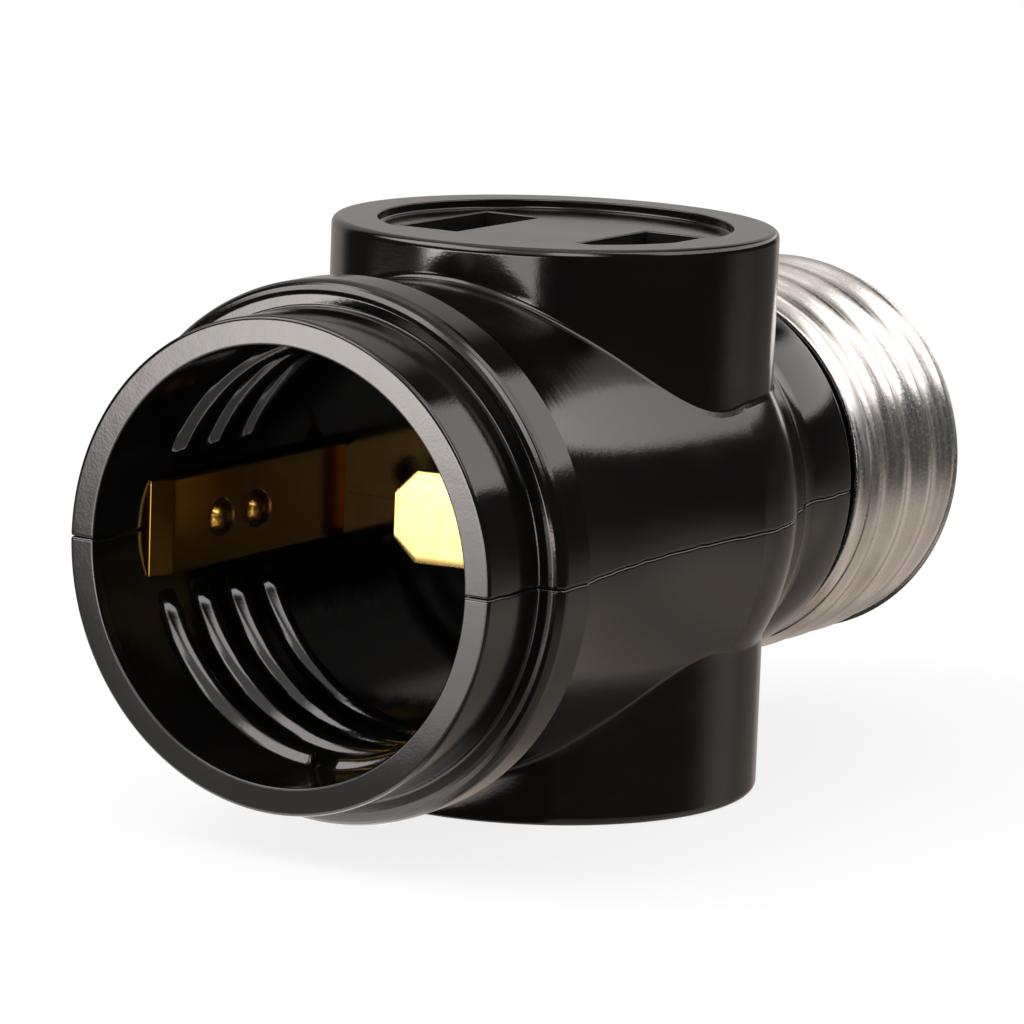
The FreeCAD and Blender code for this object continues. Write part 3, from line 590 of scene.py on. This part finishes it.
# Materials: a Wire is a socket in a node tree, and sums on wires add Math nodes
class Wire:
    def __init__(self, tree, socket):
        self.tree, self.socket = tree, socket

    def make(self, kind, settings=None, inputs=None, output=0):
        # any node: its type, its settings, then its sockets' values or wires; gives the wire of one output
        node = self.tree.nodes.new(kind)
        for name, value in (settings or {}).items():
            setattr(node, name, value)
        for name, value in (inputs or {}).items():
            target = node.inputs[name]
            if isinstance(value, Wire):
                self.tree.links.new(value.socket, target)
            else:
                target.default_value = value
        return Wire(self.tree, node.outputs[output] if node.outputs else None)

    def maths(self, operation, *others):
        # a Math node whose first value is this wire
        return self.make("ShaderNodeMath", {"operation": operation}, dict(enumerate((self,) + others)))

    def __add__(self, other):
        return self.maths("ADD", other)

    def __sub__(self, other):
        return self.maths("SUBTRACT", other)

    def __rsub__(self, other):
        return self * -1.0 + other

    def __mul__(self, other):
        return self.maths("MULTIPLY", other)

    __radd__, __rmul__ = __add__, __mul__

    def between(self, low, high):
        # 0 at low and beyond it, 1 at high and beyond it, smooth between
        return self.make("ShaderNodeMapRange", {"interpolation_type": "SMOOTHSTEP"},
                         {"Value": self, "From Min": low, "From Max": high})

    def window(self, low, high, soft):
        # 1 from low to high and 0 outside, with edges that are twice soft wide
        return self.between(low - soft, low + soft) * (1 - self.between(high - soft, high + soft))

    def near(self, middle, inner, outer):
        # 1 within inner of the middle and 0 further off than outer
        return (self - middle).maths("ABSOLUTE").between(outer, inner)

    def noise(self, scale, detail=2.0, roughness=0.5, stretch=(1.0, 1.0, 1.0)):
        spread = self.make("ShaderNodeVectorMath", {"operation": "MULTIPLY"}, {0: self, 1: stretch})
        values = {"Vector": spread, "Scale": scale, "Detail": detail, "Roughness": roughness}
        return self.make("ShaderNodeTexNoise", {}, values)

    def axes(self):
        split = self.make("ShaderNodeSeparateXYZ", {}, {0: self})
        return [Wire(self.tree, socket) for socket in split.socket.node.outputs]

    def colours(self, low, high):
        # a colour that goes from low to high with this wire; sockets 6 and 7 of a Mix node are its colours
        ends = [end if isinstance(end, Wire) else end + (1.0,) for end in (low, high)]
        return self.make("ShaderNodeMix", {"data_type": "RGBA"}, {0: self, 6: ends[0], 7: ends[1]}, output=2)

    def bump(self, distance, strength):
        return self.make("ShaderNodeBump", {}, {"Height": self, "Distance": distance, "Strength": strength})


def startMaterial(name):
    material = bpy.data.materials.new(name)
    material.use_nodes = True
    tree = material.node_tree
    tree.nodes.clear()
    start = Wire(tree, None)
    place = start.make("ShaderNodeTexCoord", output=3)  # Object coordinates
    return material, place


def endMaterial(material, place, inputs):
    surface = place.make("ShaderNodeBsdfPrincipled", {}, inputs)
    place.make("ShaderNodeOutputMaterial", {}, {"Surface": surface})
    return material


# a noise is (scale, detail, roughness, stretch), and an edge gives the values where a change starts and ends
plastic = {
    "dark": (0.0022, 0.002, 0.0019), "light": (0.0045, 0.004, 0.0037), "ior": 1.6,
    "cloud": (90.0, 3.0), "flow": (420.0, 3.0, 0.6, (1.0, 0.25, 1.0)), "grain": (5200.0, 2.0, 0.6),
    "peel": (700.0, 1.0), "toneEdge": (0.3, 0.75), "cloudEdge": (0.42, 0.72), "flowEdge": (0.5, 0.8),
    "gloss": 0.09, "smudge": 0.05, "flowMark": 0.05, "slotRough": 0.3, "relief": 0.35, "reliefDepth": 0.00003,
    # the middle of a slot, with the reach that is all rough and the reach beyond which nothing is
    "slotX": (0.00635, 0.0021, 0.0024), "slotY": (0.0312, 0.0054, 0.0058),
    "slotStart": (0.0140, 0.0144), "slotEnd": (0.0177, 0.0174),
}
metal = {
    "streak": (900.0, 4.0, 0.6, (1.0, 0.12, 1.0)), "grain": (3800.0, 3.0, 0.65), "tarnish": (160.0, 4.0, 0.6),
    "helixStreak": (1.0, 4.0, 0.6), "helixScale": (3000.0, 60.0),
    "toneEdge": (0.42, 0.66), "streakEdge": (0.35, 0.7), "grainEdge": (0.5, 0.75), "reliefDepth": 0.00004,
}
aluminium = dict(metal, bright=(0.88, 0.87, 0.855), dull=(0.66, 0.64, 0.62),
                 roughness=0.2, streaks=0.14, relief=0.5)
brass = dict(metal, bright=(0.83, 0.61, 0.22), dull=(0.75, 0.53, 0.17),
             roughness=0.26, streaks=0.03, relief=0.02)
# painted shade: a copy of the brass for the neutral strip in the dark well, darker and more orange to stand
# in for the well's shade
shadedBrass = dict(brass, bright=(0.78, 0.44, 0.09), dull=(0.7, 0.39, 0.07), streaks=0.0, relief=0.0)
springBrass = dict(brass, roughness=0.3, streaks=0.08)


def makePlastic(p):
    # near-black, mottled by clouds and flow marks, with orange peel as relief and rough walls in the slots
    material, place = startMaterial("blackMoulding")
    x, y, z = place.axes()
    cloud, flow = place.noise(*p["cloud"]), place.noise(*p["flow"])
    grain, peel = place.noise(*p["grain"]), place.noise(*p["peel"])
    tone = (cloud * 0.6 + flow * 0.4).between(*p["toneEdge"]).colours(p["dark"], p["light"])
    rise = z.maths("ABSOLUTE")
    inSlot = x.maths("ABSOLUTE").near(*p["slotX"]) * y.near(*p["slotY"])
    inSlot = inSlot * rise.between(*p["slotStart"]) * rise.between(*p["slotEnd"])
    rough = p["gloss"] + cloud.between(*p["cloudEdge"]) * p["smudge"]
    rough = rough + flow.between(*p["flowEdge"]) * p["flowMark"] + inSlot * p["slotRough"]
    relief = (grain * 0.35 + peel * 0.65).bump(p["reliefDepth"], p["relief"])
    inputs = {"Base Color": tone, "Roughness": rough, "Normal": relief, "IOR": p["ior"]}
    return endMaterial(material, place, inputs)


def makeMetal(name, m, helix=False):
    # tarnished in patches, with streaks that follow the thread if helix is true
    material, place = startMaterial(name)
    x, y, z = place.axes()
    if helix:
        turn = z.maths("ARCTAN2", x)
        lead = y + turn * (shell["pitch"] * millimetre / (2 * math.pi))
        fine, coarse = m["helixScale"]
        drawn = place.make("ShaderNodeCombineXYZ", {}, {0: lead * fine, 1: x * coarse, 2: z * coarse})
        streak = drawn.noise(*m["helixStreak"])
    else:
        streak = place.noise(*m["streak"])
    grain, tarnish = place.noise(*m["grain"]), place.noise(*m["tarnish"])
    tone = (tarnish * 0.6 + streak * 0.4).between(*m["toneEdge"]).colours(m["bright"], m["dull"])
    worn = streak.between(*m["streakEdge"]) + grain.between(*m["grainEdge"])
    rough = m["roughness"] + worn * m["streaks"]
    relief = (streak * 0.6 + grain * 0.4).bump(m["reliefDepth"], m["relief"])
    inputs = {"Base Color": tone, "Roughness": rough, "Normal": relief, "Metallic": 1.0}
    return endMaterial(material, place, inputs)


def dress(piece, material):
    piece.data.materials.clear()
    piece.data.materials.append(material)


plasticMaterial = makePlastic(plastic)
shellMaterial = makeMetal("drawnAluminium", aluminium, helix=True)
stripMaterial = makeMetal("brightBrass", brass)
shadedBrassMaterial = makeMetal("shadedBrass", shadedBrass)
leafMaterial = makeMetal("springBrass", springBrass)
for piece in (upperHousing, lowerHousing):
    dress(piece, plasticMaterial)
dress(screwShell, shellMaterial)
# the neutral strip takes the brass with painted shade
dress(neutralStrip, shadedBrassMaterial)
for piece in (lineStrip, baseButton):
    dress(piece, stripMaterial)
leaves = ["neutral_outer_leaf", "neutral_inner_leaf", "line_inner_leaf", "line_outer_leaf"]
for node in leaves + ["contact_rivets"]:
    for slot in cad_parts[node].material_slots:
        slot.material = leafMaterial
print("materials done")

# Studio: a pale floor and an even white light, with soft boxes that only glossy rays see. Spans are
# (first, last, soft) and edges (from, to), in degrees for azimuth and height and in metres on the floor.
# Azimuth is 0 in front of the mouth and 90 on the +X side; behind, it is counted on from 90 to 270.
studio = {
    "floor": -18.25, "floorSize": 900.0, "floorColour": (0.9, 0.9, 0.9), "floorShine": 0.82, "centre": 0.015,
    "warm": (1.0, 0.86, 0.75), "pale": (1.0, 0.93, 0.89), "tintHeight": (-8.0, 6.0), "darkSide": 0.03,
    # the floor as glossy rays see it: painted ahead, and clear elsewhere
    "ahead": (-105.0, 45.0, 10.0), "frontStep": 2.3, "stepReach": (0.028, 0.048),
    "frontBox": 6.5, "boxReach": (0.05, 0.17),
    "farFloor": 3.0, "farReach": (0.13, 0.19), "farEnd": (-24.0, -8.0),
    "floorStart": (-45.0, -33.0), "floorEnd": (22.0, 26.0), "floorDim": (-12.0, 8.0), "floorDimBy": 0.5,
    "nearFloor": 0.5, "nearSpan": (-76.0, 28.0, 6.0), "nearReach": (0.2, 0.3),
    "underFloor": 1.8, "underStart": (-0.008, -0.002), "underEnd": (0.01, 0.016), "underReach": (0.04, 0.06),
    # the box in front at the horizon, and the one above it with its dim middle
    "frontSpan": (-42.0, 24.0, 3.0), "frontHeight": (-5.0, 1.5, 1.5),
    "upperFront": 4.5, "upperSpan": (-80.0, 55.0, 8.0), "upperHeight": (26.0, 62.0, 5.0),
    "frontGap": 0.8, "gapSpan": (-10.0, 27.0, 5.0),
    # the box behind: its lower and far edges slope, and it is brighter to the right
    "backBox": 1.2, "backGain": 0.018, "backPivot": 178.0, "backStart": (88.0, 100.0),
    "lowPivot": 155.0, "lowSlope": 0.23, "lowEdge": (13.6, 16.0), "farSlope": 1.1, "farEdge": (203.0, 209.0),
    "backLeft": 0.43, "leftStart": (182.0, 194.0), "leftEnd": (248.0, 264.0),
    "overhead": 0.6, "overheadHeight": (45.0, 75.0),
    # the light under the horizon, from the side round to the back; its upper edge rises by topRise
    "lowSide": 0.34, "lowRight": 0.52, "lowBack": 0.26, "lowStart": (36.0, 46.0),
    "toRight": (112.0, 140.0), "toBack": (142.0, 162.0), "topRise": 10.0, "lowTop": (-28.0, -10.0),
}


def azimuthOf(x, y):
    return x.maths("ARCTAN2", 0 - y) * (180 / math.pi)


def seenByGlossy(wire):
    paths = wire.make("ShaderNodeLightPath")
    return Wire(wire.tree, paths.socket.node.outputs["Is Glossy Ray"])


def makeFloor(s):
    cells = 8
    size = s["floorSize"] / 2
    step = np.linspace(-size, size, cells + 1)
    x, y = np.meshgrid(step, step, indexing="ij")
    points = np.stack([x, y, np.full(x.shape, s["floor"] - 0.02)], -1).reshape(-1, 3) * millimetre
    row, column = np.meshgrid(np.arange(cells), np.arange(cells), indexing="ij")
    corner = row * (cells + 1) + column
    quads = np.stack([corner, corner + cells + 1, corner + cells + 2, corner + 1], -1).reshape(-1, 4)
    mesh = bpy.data.meshes.new("floor")
    mesh.from_pydata(points.tolist(), [], quads.tolist())
    floor = bpy.data.objects.new("floor", mesh)
    bpy.context.scene.collection.objects.link(floor)
    material, place = startMaterial("paleFloor")
    x, y, z = place.axes()
    # around the middle of the housing, and around the mouth
    away = y - s["centre"]
    azimuth, mouthAzimuth = azimuthOf(x, away), azimuthOf(x, y)
    reach = (x * x + away * away).maths("SQRT")
    fromMouth = (x * x + y * y).maths("SQRT")
    rise = fromMouth.between(*s["stepReach"]) * s["frontStep"]
    rise = rise + fromMouth.between(*s["boxReach"]) * (s["frontBox"] - s["frontStep"] - s["nearFloor"])
    rise = rise + fromMouth.between(*s["farReach"]) * (1 - azimuth.between(*s["farEnd"])) * s["farFloor"]
    sides = mouthAzimuth.between(*s["floorStart"]) * (1 - azimuth.between(*s["floorEnd"]))
    sides = sides * (1 - azimuth.between(*s["floorDim"]) * s["floorDimBy"])
    nearGlow = (1 - reach.between(*s["nearReach"])) * azimuth.window(*s["nearSpan"]) * s["nearFloor"]
    under = y.between(*s["underStart"]) * (1 - x.between(*s["underEnd"])) * s["underFloor"]
    under = under * (1 - reach.between(*s["underReach"]))
    strength = sides * rise + nearGlow + under + s["darkSide"]
    white = place.make("ShaderNodeBsdfDiffuse", {}, {"Color": s["floorColour"] + (1.0,)})
    shine = place.make("ShaderNodeEmission", {}, {"Color": (1.0, 1.0, 1.0, 1.0), "Strength": 1.0})
    seen = place.make("ShaderNodeMixShader", {}, {0: s["floorShine"], 1: white, 2: shine})
    clear = place.make("ShaderNodeBsdfTransparent")
    glow = place.make("ShaderNodeEmission", {}, {"Color": s["pale"] + (1.0,), "Strength": strength})
    mirrored = place.make("ShaderNodeMixShader", {}, {0: azimuth.window(*s["ahead"]), 1: clear, 2: glow})
    surface = place.make("ShaderNodeMixShader", {}, {0: seenByGlossy(place), 1: seen, 2: mirrored})
    place.make("ShaderNodeOutputMaterial", {}, {"Surface": surface})
    mesh.materials.append(material)


def makeWorld(s):
    world = bpy.data.worlds.new("studio")
    bpy.context.scene.world = world
    world.use_nodes = True
    world.node_tree.nodes.clear()
    start = Wire(world.node_tree, None)
    direction = start.make("ShaderNodeTexCoord", output=0)  # Generated coordinates, the ray's direction
    x, y, z = direction.axes()
    azimuth = azimuthOf(x, y)
    height = z.maths("ARCSINE") * (180 / math.pi)
    turned = azimuth + azimuth.maths("LESS_THAN", 0.0) * 360.0
    front = azimuth.window(*s["frontSpan"]) * height.window(*s["frontHeight"]) * s["frontBox"]
    upperFront = azimuth.window(*s["upperSpan"]) * height.window(*s["upperHeight"]) * s["upperFront"]
    upperFront = upperFront * (1 - azimuth.window(*s["gapSpan"]) * s["frontGap"])
    lowEdge = (height + (turned - s["lowPivot"]) * s["lowSlope"]).between(*s["lowEdge"])
    farEdge = 1 - (turned + height * s["farSlope"]).between(*s["farEdge"])
    back = turned.between(*s["backStart"]) * lowEdge * farEdge
    back = back * ((s["backPivot"] - turned) * s["backGain"] + s["backBox"])
    left = (turned.between(*s["leftStart"]) - turned.between(*s["leftEnd"])) * s["backLeft"]
    overhead = height.between(*s["overheadHeight"]) * s["overhead"]
    pastSide = turned.between(*s["toRight"])
    low = s["lowSide"] + pastSide * (s["lowRight"] - s["lowSide"])
    low = low - turned.between(*s["toBack"]) * (s["lowRight"] - s["lowBack"])
    low = low * (1 - (height - pastSide * s["topRise"]).between(*s["lowTop"]))
    low = low * (turned.between(*s["lowStart"]) - turned.between(*s["leftStart"]))
    glow = front + upperFront + back + left + overhead + low + s["darkSide"]
    isGlossy = seenByGlossy(direction)
    strength = isGlossy * glow + (1 - isGlossy)
    tint = height.between(*s["tintHeight"]).colours(s["warm"], s["pale"])
    colour = isGlossy.colours((1.0, 1.0, 1.0), tint)
    background = direction.make("ShaderNodeBackground", {}, {"Color": colour, "Strength": strength})
    direction.make("ShaderNodeOutputWorld", {}, {"Surface": background})


keyLamp = {
    "azimuth": -40.0, "height": 50.0, "distance": 0.8, "size": 0.5, "power": 3.0, "target": (0.0, 0.03, 0.0),
}


def makeLamp(name, k):
    # a square area lamp turned to its target, which neither the camera nor glossy rays see
    lamp = bpy.data.lights.new(name, "AREA")
    lamp.shape, lamp.size, lamp.energy = "SQUARE", k["size"], k["power"]
    holder = bpy.data.objects.new(name, lamp)
    bpy.context.scene.collection.objects.link(holder)
    a, e = math.radians(k["azimuth"]), math.radians(k["height"])
    way = Vector((math.sin(a) * math.cos(e), -math.cos(a) * math.cos(e), math.sin(e)))
    holder.location = Vector(k["target"]) + way * k["distance"]
    holder.rotation_euler = way.to_track_quat("Z", "Y").to_euler()
    holder.visible_glossy = False
    holder.visible_camera = False


makeFloor(studio)
makeWorld(studio)
makeLamp("keyLamp", keyLamp)

# Camera at the photograph's angle
view = {
    "place": (0.17987, -0.26747, 0.06126), "lens": 192.04, "sensor": 36.0, "clip": (0.01, 20.0),
    "forward": (-0.5131, 0.8403, -0.1753), "right": (0.8496, 0.5262, 0.0359),
}
camera = bpy.data.cameras.new("camera")
camera.lens, camera.sensor_width = view["lens"], view["sensor"]
camera.clip_start, camera.clip_end = view["clip"]
cameraHolder = bpy.data.objects.new("camera", camera)
bpy.context.scene.collection.objects.link(cameraHolder)
forward = Vector(view["forward"]).normalized()
right = Vector(view["right"])
right = (right - forward * right.dot(forward)).normalized()
up = right.cross(forward)
facingTurn = Matrix((right, up, -forward)).transposed().to_4x4()
cameraHolder.matrix_world = Matrix.Translation(Vector(view["place"])) @ facingTurn
bpy.context.scene.camera = cameraHolder
bpy.context.scene.view_settings.view_transform = "Standard"

print("scene done")
